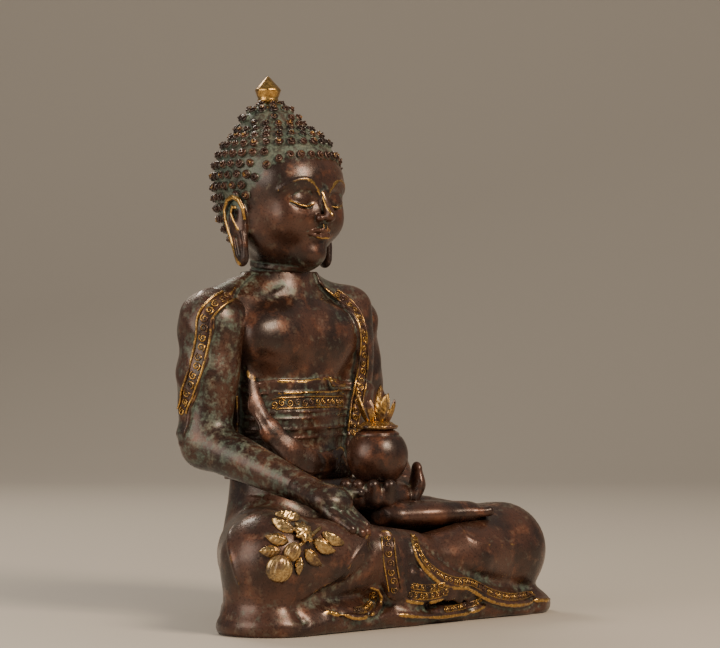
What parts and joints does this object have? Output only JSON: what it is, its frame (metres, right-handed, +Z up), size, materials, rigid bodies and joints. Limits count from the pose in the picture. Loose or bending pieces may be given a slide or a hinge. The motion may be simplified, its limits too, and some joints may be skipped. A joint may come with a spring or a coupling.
{
  "type": "seated medicine buddha statue",
  "caption": "Seated cast-brass Buddha with legs crossed, one hand on the knee over a fruiting sprig, the other holding a lidded medicine bowl; a flat base lets it stand on a table or altar.",
  "frame": {"origin": "middle of the bounding box, on the underside of the seat's hem", "axes": "+Z up through the head, the figure faces -Y, +X is the figure's own left"},
  "size_m": [0.2594, 0.1757, 0.336],
  "materials": {
    "patinated_brass": "red-brown waxed patina, green in the recesses",
    "bright_brass": "polished, darkened in the grooves",
    "plate_brass": "rolled sheet, dull",
    "rivet_brass": "filed flush",
    "steel_rod": "bare rod"
  },
  "bodies": {
    "root": {"seat_casting": "patinated_brass", "torso_casting": "patinated_brass", "head_casting": "patinated_brass", "right_arm_casting": "patinated_brass", "left_arm_casting": "patinated_brass", "right_hand_casting": "patinated_brass", "left_hand_casting": "patinated_brass", "right_foot_casting": "patinated_brass", "medicine_bowl": "patinated_brass", "crown_finial": "bright_brass", "bowl_lid": "bright_brass", "bowl_lid_leaves": "bright_brass", "bowl_lid_fruit": "bright_brass", "sprig_leaves": "bright_brass", "sprig_fruits": "bright_brass", "sprig_stem": "bright_brass", "waist_rivets": "rivet_brass", "neck_rivets": "rivet_brass", "base_plate": "plate_brass", "base_plate_screws": "rivet_brass", "right_shoulder_dowel": "steel_rod", "left_shoulder_dowel": "steel_rod", "right_wrist_dowel": "steel_rod", "left_wrist_dowel": "steel_rod", "bowl_stud": "steel_rod"}
  },
  "joints": []
}
